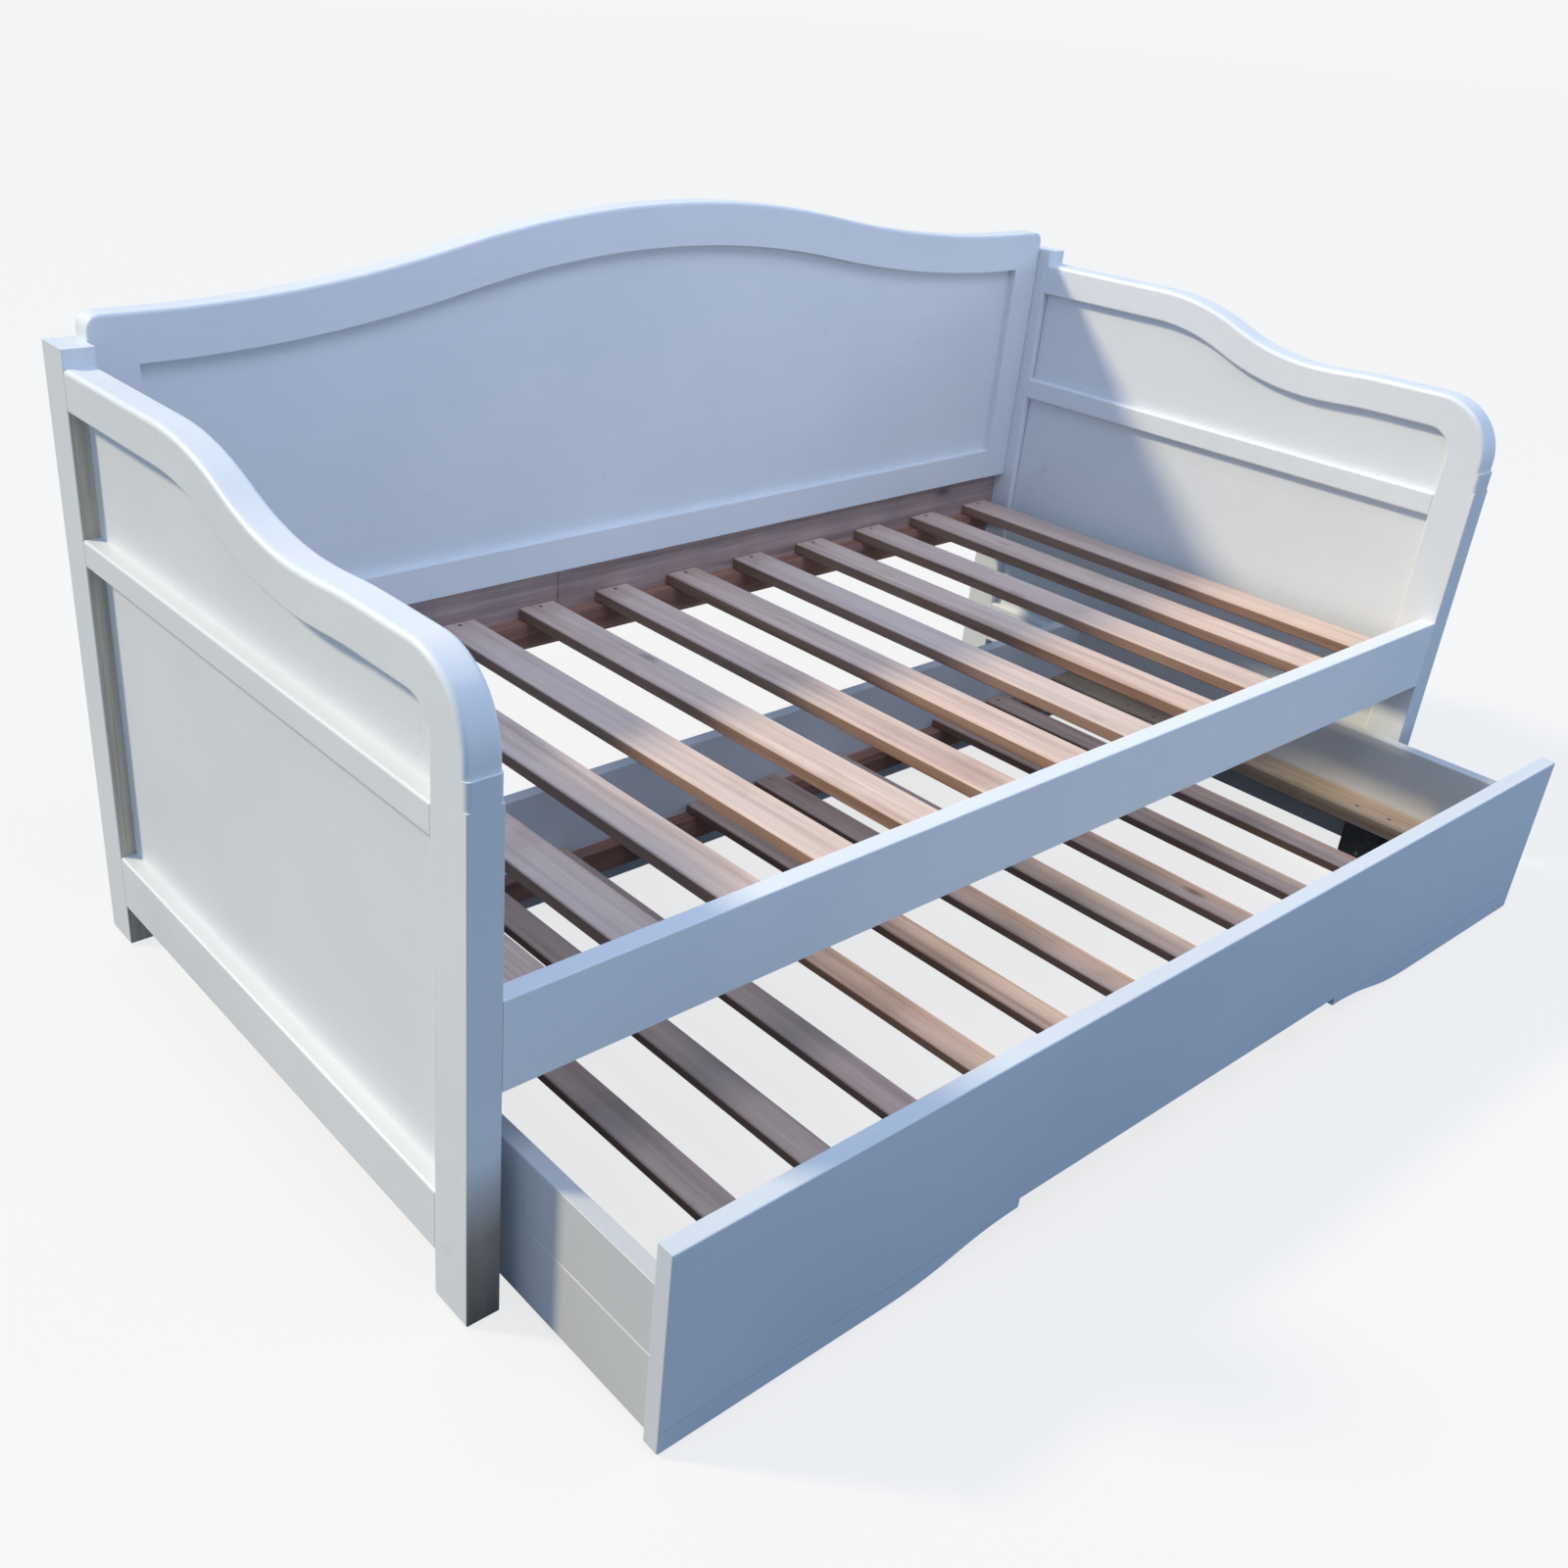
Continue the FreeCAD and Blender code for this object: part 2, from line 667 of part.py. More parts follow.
def crest(offset, half_width):
    """The camel-back line from one side to the other, moved down by the offset."""
    low = (size["back_swell"], size["back_shoulder_height"])
    high = (0, size["back_crown_height"])
    level = size["back_shoulder_height"] - offset
    curves = []
    for side in SIDES:
        low_arc, high_arc = ogee((side * low[0], low[1]), high, offset, size["back_crown_share"])
        flat = line((side * half_width, level), (side * low[0], level))
        curves += [flat, low_arc, high_arc] if side < 0 else [high_arc, low_arc, flat]
    return curves


def across(half_width, level):
    return line((half_width, level), (-half_width, level))


stile_inside = inside - back_stile
top_width = size["back_top_rail_width"]
shoulder = size["back_shoulder_height"]

crest_line = crest(0, stile_inside)
recess_line = crest(top_width, stile_inside)
rail_end_lines = [line((side * stile_inside, shoulder), (side * stile_inside, shoulder - top_width))
                  for side in SIDES]
back_rail_outline = crest_line + [rail_end_lines[1]] + recess_line[::-1] + [rail_end_lines[0]]
back_top = shaped("back_top_rail", "XZ_Plane", back_rail_outline, "back_thickness", (0, BED_REAR, 0))
soften(back_top, "Fillet", "Radius", "back_round_over", on_curves(crest_line, "xz"))

panel_edge = stile_inside + groove
panel_level = shoulder - top_width + groove
panel_foot = size["back_foot"] + size["back_bottom_rail_width"] - groove
panel_sides = [line((side * panel_edge, panel_level), (side * panel_edge, panel_foot)) for side in SIDES]
panel_outline = crest(top_width - groove, panel_edge)
panel_outline += [panel_sides[1], across(panel_edge, panel_foot), panel_sides[0]]
panel_rear = BED_REAR + " - back_thickness + back_panel_setback + panel_thickness"
back_panel = shaped("back_panel", "XZ_Plane", panel_outline, "panel_thickness", (0, panel_rear, 0))
keep(back_panel, "back_panel")

BACK_RAIL_LENGTH = "bed_length - 2 * end_thickness - 2 * back_stile_width"
BACK_RAIL_START = "0 - " + END_INSIDE + " + back_stile_width"
back_bottom = painted("back_bottom_rail", BACK_RAIL_LENGTH, "back_thickness", "back_bottom_rail_width",
                      (BACK_RAIL_START, BED_REAR + " - back_thickness", "back_foot"), "x")
joined("back_top_rail", back_top, back_panel, dowels)
joined("back_bottom_rail", back_bottom, back_panel, dowels)

for name, side in (("back_left_stile", -1), ("back_right_stile", 1)):
    radius = size["back_corner_radius"]
    foot = size["back_foot"]
    turn_centre = (side * (inside - radius), shoulder - radius)
    turn = arc(turn_centre, radius, math.pi / 2, math.pi / 2 - side * math.pi / 2)
    head_line = line((side * stile_inside, shoulder), (side * (inside - radius), shoulder))
    outline = [
        line((side * stile_inside, foot), (side * stile_inside, shoulder)),
        head_line,
        turn,
        line((side * inside, shoulder - radius), (side * inside, foot)),
        line((side * inside, foot), (side * stile_inside, foot)),
    ]
    stile = shaped(name, "XZ_Plane", outline, "back_thickness", (0, BED_REAR, 0))
    soften(stile, "Fillet", "Radius", "back_round_over", on_curves([head_line, turn], "xz"))
    joined(name, stile, back_panel, dowels, cam_bolts, cam_bores)


# ---- The long rails, their ledgers and brackets, and the slats ----

BAY_LENGTH = "bed_length - 2 * end_thickness"
LEDGER_LENGTH = BAY_LENGTH + " - 2 * ledger_end_gap"
BAY_START = "end_thickness - bed_length / 2"
LEDGER_START = BAY_START + " + ledger_end_gap"


def top_arrises(height):
    """Chooses the two long top edges of a board that lies along X."""
    def chosen(edge):
        box = edge.BoundBox
        return box.XLength > 1 and box.ZLength < 0.01 and abs(box.ZMax - height) < 0.01
    return chosen


front_rail = plank("front_rail", BAY_LENGTH, "front_rail_thickness", "front_rail_head - front_rail_foot",
                   (BAY_START, BED_FRONT, "front_rail_foot"))
front_rail_depth = size["front_rail_head"] - size["front_rail_foot"]
soften(front_rail, "Fillet", "Radius", "slat_ease", top_arrises(front_rail_depth))
joined("front_rail", front_rail, dowels, slat_screws, bracket_screws)
rear_rail = plank("rear_rail", BAY_LENGTH, "rear_rail_thickness", "rear_rail_head - rear_rail_foot",
                  (BAY_START, BED_REAR + " - rear_rail_thickness", "rear_rail_foot"))
rear_rail_joint = doc.addObject("Part::Box", "rear_rail_joint")
bind(rear_rail_joint, "Length", "board_joint_width")
bind(rear_rail_joint, "Width", "board_joint_depth")
bind(rear_rail_joint, "Height", "rear_rail_head - rear_rail_foot")
place(rear_rail_joint, ("0 - rear_rail_joint_at", BED_REAR + " - rear_rail_thickness", "rear_rail_foot"))
joined("rear_rail", rear_rail, rear_rail_joint, dowels, slat_screws, bracket_screws)

FRONT_LEDGER_Y = BED_FRONT + " + front_rail_thickness"
REAR_LEDGER_Y = BED_REAR + " - rear_rail_thickness - ledger_thickness"
LEDGERS = {
    "front_ledger": (FRONT_LEDGER_Y, "front_rail_foot"),
    "rear_ledger": (REAR_LEDGER_Y, "rear_rail_foot"),
}
for name, (ledger_y, foot) in LEDGERS.items():
    blank = plank(name, LEDGER_LENGTH, "ledger_thickness", LEDGER_HEAD + " - " + foot,
                  (LEDGER_START, ledger_y, foot))
    joined(name, blank, slat_screws)

SLAT_LENGTH = "bed_depth - front_rail_thickness - rear_rail_thickness - 2 * slat_end_gap"
SLAT_START = BED_FRONT + " + front_rail_thickness + slat_end_gap"
for i in range(SLAT_COUNT):
    label = "bed_slat_%02d" % (i + 1)
    steps = i - (SLAT_COUNT - 1) / 2
    slat_left = "slat_shift + %s * slat_pitch - slat_width / 2" % steps
    slat = plank(label, "slat_width", SLAT_LENGTH, "slat_thickness", (slat_left, SLAT_START, LEDGER_HEAD),
                 "slat_ease", "y")
    joined(label, slat, slat_screws)


def compound(label, parts):
    """Several like pieces kept as separate solids of one node."""
    whole = doc.addObject("Part::Compound", label + "_group")
    whole.Links = parts
    return keep(whole, label)


arm = size["bracket_arm"]
plate = size["bracket_thickness"]
REAR_RAIL_INSIDE = BED_REAR + " - rear_rail_thickness"
brackets = []
for side in SIDES:
    for rail_y, inward in ((FRONT_LEDGER_Y, 1), (REAR_RAIL_INSIDE, -1)):
        corners = [(0, 0), (-side * arm, 0), (-side * arm, inward * plate), (-side * plate, inward * plate),
                   (-side * plate, inward * arm), (0, inward * arm)]
        bracket = shaped("corner_bracket_%d" % len(brackets), "XY_Plane", polygon(corners), "bracket_height",
                         ("%d * " % side + END_INSIDE, rail_y, "bracket_level - bracket_height / 2"))
        drilled = doc.addObject("Part::Cut", "corner_bracket_drilled_%d" % len(brackets))
        drilled.Base = bracket
        drilled.Tool = bracket_screws
        brackets.append(drilled)
compound("corner_brackets", brackets)

glides = []
for x in ("end_thickness / 2 - bed_length / 2", "bed_length / 2 - end_thickness / 2"):
    for y in (BED_FRONT + " + post_width / 2", BED_REAR + " - post_width / 2"):
        glide = doc.addObject("Part::Cylinder", "glide_%d" % len(glides))
        bind(glide, "Radius", "glide_radius")
        bind(glide, "Height", "glide_height")
        place(glide, (x, y, 0))
        glides.append(glide)
compound("leg_glides", glides)


# ---- The trundle ----

board = size["trundle_board_thickness"]
box_half = size["trundle_box_length"] / 2
box_inside = box_half - board
bearer_inside = box_inside - size["bearer_width"]
box_front = trundle_front + size["trundle_front_thickness"]
box_rear = trundle_front + size["trundle_depth"]
BOX_FRONT = TRUNDLE_FRONT + " + trundle_front_thickness"
BOX_DEPTH = "trundle_depth - trundle_front_thickness"
BOX_INNER_DEPTH = BOX_DEPTH + " - trundle_board_thickness"
BOX_REAR_INSIDE = TRUNDLE_FRONT + " + trundle_depth - trundle_board_thickness"
BOX_INSIDE = "trundle_box_length / 2 - trundle_board_thickness"

castor_middle = bearer_inside + size["castor_width"] / 2 + size["castor_gap"]
castor_lines = (box_front + size["castor_setback"], box_rear - board - size["castor_setback"])
castor_places = [(side * castor_middle, y) for side in SIDES for y in castor_lines]

trundle_slat_x = row_middles(TRUNDLE_SLAT_COUNT, size["trundle_slat_pitch"], size["trundle_slat_shift"])
trundle_ledger_lines = (box_front + ledger / 2, box_rear - board - ledger / 2)
trundle_slat_top = size["trundle_slat_top"]
trundle_spots = [((x, y, trundle_slat_top), upright) for x in trundle_slat_x for y in trundle_ledger_lines]
trundle_screw_level = size["trundle_ledger_screw_level"]
for x in row_middles(LEDGER_SCREW_COUNT, size["trundle_ledger_screw_pitch"], 0):
    trundle_spots.append(((x, box_front + ledger, trundle_screw_level), (0, 1, 0)))
    trundle_spots.append(((x, box_rear - board - ledger, trundle_screw_level), (0, -1, 0)))
bearer_line = box_inside - size["bearer_width"] / 2
bearer_middle = trundle_slat_top - size["bearer_thickness"] / 2
for side in SIDES:
    for z in SIDE_BOARD_SCREWS:
        trundle_spots.append(((side * box_half, box_rear - board / 2, z), (side, 0, 0)))
    trundle_spots.append(((side * bearer_line, box_rear, bearer_middle), along_y))
for x, y in castor_places:
    for side in SIDES:
        trundle_spots.append(((x, y + side * size["castor_screw_step"], trundle_slat_top), upright))
trundle_screws = driven("trundle_screws", wood_screw, trundle_spots, *screw_recess)

axle_length = size["castor_width"]
axle_chamfer = 0.6
axle = Part.makeCylinder(size["axle_radius"], axle_length, at(0, 0, -axle_length / 2))
axle = axle.makeChamfer(axle_chamfer, [edge for edge in axle.Edges if edge.Closed])
axle_spots = [((x, y, size["wheel_radius"]), along_x) for x, y in castor_places]
castor_axles = fasteners("castor_axles", axle, axle_spots)

half_front = size["trundle_front_length"] / 2
front_foot = size["trundle_front_foot"]
front_head = size["trundle_front_head"]
step_at = size["cutout_half_width"]
step_foot = size["cutout_step_foot"]
reach_at = size["cutout_half_reach"]
foot_curves = []
for side in SIDES:
    low_arc, high_arc = ogee((side * reach_at, front_foot), (side * step_at, step_foot))
    flat = line((side * half_front, front_foot), (side * reach_at, front_foot))
    step = line((side * step_at, step_foot), (side * step_at, size["cutout_head"]))
    run = [flat, low_arc, high_arc, step]
    foot_curves += run if side < 0 else [across(step_at, size["cutout_head"])] + run[::-1]
front_outline = foot_curves + [line((half_front, front_foot), (half_front, front_head)),
                               line((half_front, front_head), (-half_front, front_head)),
                               line((-half_front, front_head), (-half_front, front_foot))]
front_board = shaped("trundle_front_board", "XZ_Plane", front_outline, "trundle_front_thickness",
                     (0, BOX_FRONT, 0))


def board_rim(edge):
    """Chooses the long top edges and the four upright corners of the front board."""
    box = edge.BoundBox
    on_top = box.XLength > 1 and box.ZMin > front_head - 0.01
    upright_corner = box.ZLength > 200
    return on_top or upright_corner


soften(front_board, "Fillet", "Radius", "slat_ease", board_rim)
scribes = []
for side, start in ((-1, "0 - trundle_front_length / 2 - 1"), (1, "cutout_half_width")):
    scribe = doc.addObject("Part::Box", "scribe_%d" % len(scribes))
    bind(scribe, "Length", "trundle_front_length / 2 + 1 - cutout_half_width")
    bind(scribe, "Width", "scribe_depth")
    bind(scribe, "Height", "scribe_depth")
    place(scribe, (start, TRUNDLE_FRONT, "scribe_height"))
    scribes.append(scribe)
joined("trundle_front_board", front_board, scribes[0], scribes[1], trundle_screws)

joint = size["trundle_board_joint"]
vee = size["vee"]
tongue = size["tongue"]
tongue_clearance = 0.5
tongue_start = (board - tongue) / 2
tongue_end = tongue_start + tongue
for name, side in (("left", -1), ("right", 1)):
    def boards_outline(points):
        """The board's section, whose first figure is the distance in from its outer face."""
        return polygon([(side * (box_half - inwards), height) for inwards, height in points])

    foot = size["trundle_board_foot"]
    head = size["trundle_board_head"]
    ease = size["board_ease"]
    lower_section = [(0, foot), (0, joint - vee), (vee, joint), (tongue_start, joint),
                     (tongue_start, joint + tongue), (tongue_end, joint + tongue), (tongue_end, joint),
                     (board, joint), (board, foot)]
    slot_head = joint + tongue + tongue_clearance
    upper_section = [(0, head - ease), (ease, head), (board - ease, head), (board, head - ease),
                     (board, joint), (tongue_end, joint), (tongue_end, slot_head), (tongue_start, slot_head),
                     (tongue_start, joint), (vee, joint), (0, joint + vee)]
    for level, section in (("lower", lower_section), ("upper", upper_section)):
        label = "trundle_%s_%s_board" % (name, level)
        blank = shaped(label, "XZ_Plane", boards_outline(section), BOX_DEPTH, (0, BOX_FRONT, 0), True)
        joined(label, blank, trundle_screws)

rear_board = plank("trundle_rear_board", "2 * (" + BOX_INSIDE + ")", "trundle_board_thickness",
                   "trundle_board_head - trundle_board_foot",
                   ("0 - (" + BOX_INSIDE + ")", BOX_REAR_INSIDE, "trundle_board_foot"))
soften(rear_board, "Chamfer", "Size", "board_ease",
       top_arrises(size["trundle_board_head"] - size["trundle_board_foot"]))
joined("trundle_rear_board", rear_board, trundle_screws)

TRUNDLE_LEDGER_LENGTH = "2 * (" + BOX_INSIDE + " - bearer_width)"
TRUNDLE_LEDGER_START = "0 - (" + BOX_INSIDE + " - bearer_width)"
TRUNDLE_LEDGERS = {
    "trundle_front_ledger": BOX_FRONT,
    "trundle_rear_ledger": BOX_REAR_INSIDE + " - ledger_thickness",
}
for name, ledger_y in TRUNDLE_LEDGERS.items():
    blank = plank(name, TRUNDLE_LEDGER_LENGTH, "ledger_thickness", "trundle_ledger_height",
                  (TRUNDLE_LEDGER_START, ledger_y, TRUNDLE_LEDGER_HEAD + " - trundle_ledger_height"))
    joined(name, blank, trundle_screws)

BEARERS = {"left": "0 - (" + BOX_INSIDE + ")", "right": BOX_INSIDE + " - bearer_width"}
for name, bearer_x in BEARERS.items():
    label = "trundle_%s_bearer" % name
    blank = plank(label, "bearer_width", BOX_INNER_DEPTH, "bearer_thickness",
                  (bearer_x, BOX_FRONT, "trundle_slat_top - bearer_thickness"), "slat_ease", "y")
    joined(label, blank, trundle_screws)

trundle_slats = []
for i in range(TRUNDLE_SLAT_COUNT):
    steps = i - (TRUNDLE_SLAT_COUNT - 1) / 2
    slat_left = "trundle_slat_shift + %s * trundle_slat_pitch - trundle_slat_width / 2" % steps
    slat = plank("trundle_slat_%02d" % (i + 1), "trundle_slat_width", BOX_INNER_DEPTH + " - 2 * slat_end_gap",
                 "trundle_slat_thickness", (slat_left, BOX_FRONT + " + slat_end_gap", TRUNDLE_LEDGER_HEAD),
                 "slat_ease", "y")
    drilled = doc.addObject("Part::Cut", "trundle_slat_drilled_%02d" % (i + 1))
    drilled.Base = slat
    drilled.Tool = trundle_screws
    trundle_slats.append(drilled)
compound("trundle_slats", trundle_slats)


# ---- The castors ----

wheel_radius = size["wheel_radius"]
half_wheel = size["wheel_width"] / 2
bore = size["wheel_bore_radius"]
hub_radius = 9
web_half = 5
rim_radius = wheel_radius - 7
tread_edge = wheel_radius - 2
side_line = half_wheel - 1


def wheel_outline():
    """Half the wheel's section: its first figure runs along the axle, its second is the radius."""
    left = [(-half_wheel, bore), (-half_wheel, hub_radius), (-web_half, hub_radius + 1),
            (-web_half, rim_radius), (-side_line, rim_radius + 1), (-side_line, tread_edge)]
    right = [(-along, radius) for along, radius in left[::-1]]
    tread = Part.Arc(at(*right[0]), at(0, wheel_radius), at(*left[-1]))
    lines = [line(left[i], left[i + 1]) for i in range(len(left) - 1)]
    lines += [tread]
    lines += [line(right[i], right[i + 1]) for i in range(len(right) - 1)]
    return lines + [line(right[-1], left[0])]


castor_names = {(-1, 0): "left_front", (-1, 1): "left_rear", (1, 0): "right_front", (1, 1): "right_rear"}
housings = []
slot_top = 2 * wheel_radius + size["wheel_clearance"]
for side in SIDES:
    for end, y in enumerate(castor_lines):
        name = castor_names[(side, end)]
        x = side * castor_middle
        wheel = doc.addObject("PartDesign::Body", name + "_wheel_blank")
        sketch = new_sketch(wheel, "XY_Plane")
        draw_outline(sketch, wheel_outline())
        turning = wheel.newObject("PartDesign::Revolution", name + "_wheel_turning")
        turning.Profile = sketch
        turning.ReferenceAxis = (sketch, ["H_Axis"])
        turning.Angle = 360
        sketch.Visibility = False
        doc.recompute()
        place(wheel, (x, y, "wheel_radius"))
        keep(wheel, name + "_wheel")

        housing = plank(name + "_housing", "castor_width", "castor_length",
                        "trundle_slat_top - bearer_thickness - castor_foot",
                        ("%s - castor_width / 2" % x, "%s - castor_length / 2" % y, "castor_foot"),
                        "castor_corner", "z")
        slot = doc.addObject("Part::Box", name + "_wheel_slot")
        bind(slot, "Length", "castor_slot")
        bind(slot, "Width", "castor_length - 2 * castor_end_wall")
        bind(slot, "Height", "%s - castor_foot + 1" % slot_top)
        slot_corner = ("%s - castor_slot / 2" % x, "%s - castor_length / 2 + castor_end_wall" % y)
        place(slot, slot_corner + ("castor_foot - 1",))
        hollowed = doc.addObject("Part::Cut", name + "_housing_slotted")
        hollowed.Base = housing
        hollowed.Tool = slot
        bored = doc.addObject("Part::Cut", name + "_housing_bored")
        bored.Base = hollowed
        bored.Tool = castor_axles
        drilled = doc.addObject("Part::Cut", name + "_housing_drilled")
        drilled.Base = bored
        drilled.Tool = trundle_screws
        housings.append(drilled)
compound("castor_housings", housings)

doc.recompute()
for thing in doc.Objects:
    if "Invalid" in thing.State or "Error" in thing.State:
        raise RuntimeError("%s did not build: %s" % (thing.Name, thing.State))
for piece in pieces:
    if piece.Shape.isNull() or not piece.Shape.isValid() or not piece.Shape.Solids:
        raise RuntimeError("%s has no sound shape" % piece.Label)

os.makedirs("parts", exist_ok=True)
for piece in pieces:
    piece.Shape.exportStep("parts/%s.step" % piece.Label)
    print("%-28s %2d solids %8.0f cm3" % (piece.Label, len(piece.Shape.Solids), piece.Shape.Volume / 1000))
print(len(pieces), "nodes")
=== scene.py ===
import math

import bpy
from mathutils import Euler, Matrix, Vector


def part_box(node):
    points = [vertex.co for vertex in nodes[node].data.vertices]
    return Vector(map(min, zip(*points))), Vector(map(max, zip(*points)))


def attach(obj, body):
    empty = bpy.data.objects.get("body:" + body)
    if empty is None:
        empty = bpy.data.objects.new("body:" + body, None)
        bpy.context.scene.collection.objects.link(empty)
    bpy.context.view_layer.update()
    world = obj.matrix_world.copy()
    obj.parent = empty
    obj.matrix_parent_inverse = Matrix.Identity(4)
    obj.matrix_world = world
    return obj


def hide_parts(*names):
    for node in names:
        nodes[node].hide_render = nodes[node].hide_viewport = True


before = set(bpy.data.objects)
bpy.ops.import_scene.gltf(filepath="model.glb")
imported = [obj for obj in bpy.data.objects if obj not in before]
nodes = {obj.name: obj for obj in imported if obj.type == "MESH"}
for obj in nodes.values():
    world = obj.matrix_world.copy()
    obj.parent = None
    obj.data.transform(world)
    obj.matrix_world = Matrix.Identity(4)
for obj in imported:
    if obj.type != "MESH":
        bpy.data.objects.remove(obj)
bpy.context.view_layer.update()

AXES = {"x": 0, "y": 1, "z": 2}


# ---- Shader building ----

# The colour sockets of a Mix node, which has others for numbers and vectors.
MIX_FIRST, MIX_SECOND, MIX_RESULT = 6, 7, 2


def srgb(red, green, blue):
    """A linear colour from the three 0 to 255 figures a paint card gives."""
    channels = [c / 255 for c in (red, green, blue)]
    return [c / 12.92 if c <= 0.04045 else ((c + 0.055) / 1.055) ** 2.4 for c in channels] + [1.0]


def along(axis, lengthways, across):
    """Pattern scales that draw a pattern out along one axis of a board."""
    scale = [across] * 3
    scale[AXES[axis]] = lengthways
    return scale


class Finish:
    """A node material with its main shader, and short ways to add the usual nodes."""

    def __init__(self, name):
        self.material = bpy.data.materials.new(name)
        self.material.use_nodes = True
        self.nodes = self.material.node_tree.nodes
        self.links = self.material.node_tree.links
        self.shader = self.nodes["Principled BSDF"]
        self.place = self.add("ShaderNodeTexCoord").outputs["Object"]

    def add(self, kind, **settings):
        made = self.nodes.new(kind)
        for name, value in settings.items():
            setattr(made, name, value)
        return made

    def join(self, output, socket):
        self.links.new(output, socket)

    def feed(self, value, socket):
        """Gives a socket a plain number or colour, or joins another node's output to it."""
        if isinstance(value, (int, float, list)):
            socket.default_value = value
        else:
            self.join(value, socket)

    def set(self, **values):
        """Sets plain numbers on the shader's own sockets."""
        for name, value in values.items():
            self.shader.inputs[name.replace("_", " ")].default_value = value

    def stretched(self, scale):
        """The object's coordinates, scaled so that a pattern runs along a board."""
        mapping = self.add("ShaderNodeMapping")
        mapping.inputs["Scale"].default_value = scale
        self.join(self.place, mapping.inputs["Vector"])
        return mapping.outputs["Vector"]

    def axis(self, letter):
        """One of the object's coordinates, in metres."""
        split = self.add("ShaderNodeSeparateXYZ")
        self.join(self.place, split.inputs["Vector"])
        return split.outputs[letter]

    def noise(self, where, scale=1.0, detail=4.0, roughness=0.55, distortion=0.0):
        made = self.add("ShaderNodeTexNoise")
        made.inputs["Scale"].default_value = scale
        made.inputs["Detail"].default_value = detail
        made.inputs["Roughness"].default_value = roughness
        made.inputs["Distortion"].default_value = distortion
        self.join(where, made.inputs["Vector"])
        return made.outputs["Fac"]

    def span(self, value, low, high, to=(0.0, 1.0)):
        """Stretches a value from one range to another, and clamps it."""
        made = self.add("ShaderNodeMapRange")
        made.inputs["From Min"].default_value = low
        made.inputs["From Max"].default_value = high
        made.inputs["To Min"].default_value, made.inputs["To Max"].default_value = to
        self.join(value, made.inputs["Value"])
        return made.outputs["Result"]

    def reckon(self, operation, *values):
        made = self.add("ShaderNodeMath", operation=operation)
        for socket, value in zip(made.inputs, values):
            self.feed(value, socket)
        return made.outputs["Value"]

    def times(self, first, second):
        return self.reckon("MULTIPLY", first, second)

    def colours(self, value, *stops):
        """A colour ramp from (place, colour) stops."""
        made = self.add("ShaderNodeValToRGB")
        ramp = made.color_ramp
        while len(ramp.elements) < len(stops):
            ramp.elements.new(0.5)
        for element, (at, colour) in zip(ramp.elements, stops):
            element.position = at
            element.color = colour
        self.join(value, made.inputs["Fac"])
        return made.outputs["Color"]

    def mix(self, share, first, second, blend="MIX"):
        made = self.add("ShaderNodeMix", data_type="RGBA", blend_type=blend)
        self.feed(share, made.inputs["Factor"])
        self.feed(first, made.inputs[MIX_FIRST])
        self.feed(second, made.inputs[MIX_SECOND])
        return made.outputs[MIX_RESULT]

    def relief(self, height, strength, depth):
        """Adds a bump on top of what the shader already has."""
        bump = self.add("ShaderNodeBump")
        bump.inputs["Strength"].default_value = strength
        bump.inputs["Distance"].default_value = depth
        self.join(height, bump.inputs["Height"])
        normal = self.shader.inputs["Normal"]
        if normal.links:
            self.join(normal.links[0].from_socket, bump.inputs["Normal"])
        self.join(bump.outputs["Normal"], normal)

    def base(self, colour):
        self.join(colour, self.shader.inputs["Base Color"])

    def rough(self, value):
        self.join(value, self.shader.inputs["Roughness"])


RUBBED_PAINT = srgb(168, 160, 148)
BRUSH_SHADE = srgb(150, 160, 172)
KNOT_BROWN = srgb(74, 48, 36)
SLAT_SIDE_TONE = srgb(186, 168, 158)
# A slat's colour turns darker on its sides between these two depths below its top face.
SIDE_TONE_FROM, SIDE_TONE_FULL = 0.0007, 0.0022


def satin_paint(name, axis, light, shade, sheen, painted_shade=None):
    """Brushed satin paint: faint brush lines along the board, a slight film texture, uneven sheen
    and rubs. The last argument, if given, is a function that paints shade over the paint's colour."""
    finish = Finish(name)
    cloud = finish.noise(finish.place, scale=2.6, detail=3.0)
    tone = finish.colours(finish.span(cloud, 0.3, 0.7), (0.0, shade), (1.0, light))
    wear = finish.noise(finish.place, scale=14.0, detail=8.0, roughness=0.7, distortion=0.6)
    rub_spots = finish.span(wear, 0.63, 0.74)
    rubbed = finish.mix(finish.times(rub_spots, 0.16), tone, RUBBED_PAINT)
    brush_lines = finish.stretched(along(axis, lengthways=2.0, across=210.0))
    brush = finish.noise(brush_lines, detail=6.0, roughness=0.6)
    streaked = finish.mix(finish.span(brush, 0.35, 0.75, to=(0.0, 0.05)), rubbed, BRUSH_SHADE)
    # Any painted shade from the last argument goes over the paint's own colour.
    finish.base(painted_shade(finish, streaked) if painted_shade else streaked)
    shine = finish.span(finish.noise(finish.place, scale=7.0, detail=5.0), 0.3, 0.7, to=sheen)
    finish.rough(finish.reckon("ADD", shine, finish.times(rub_spots, 0.1)))
    finish.relief(brush, strength=0.22, depth=0.0004)
    film = finish.noise(finish.place, scale=420.0, detail=2.0)
    finish.relief(film, strength=0.10, depth=0.0002)
    waviness = finish.noise(finish.place, scale=9.0, detail=2.0)
    finish.relief(waviness, strength=0.12, depth=0.0012)
    finish.set(Coat_Weight=0.06, Coat_Roughness=0.25, IOR=1.46)
    return finish.material


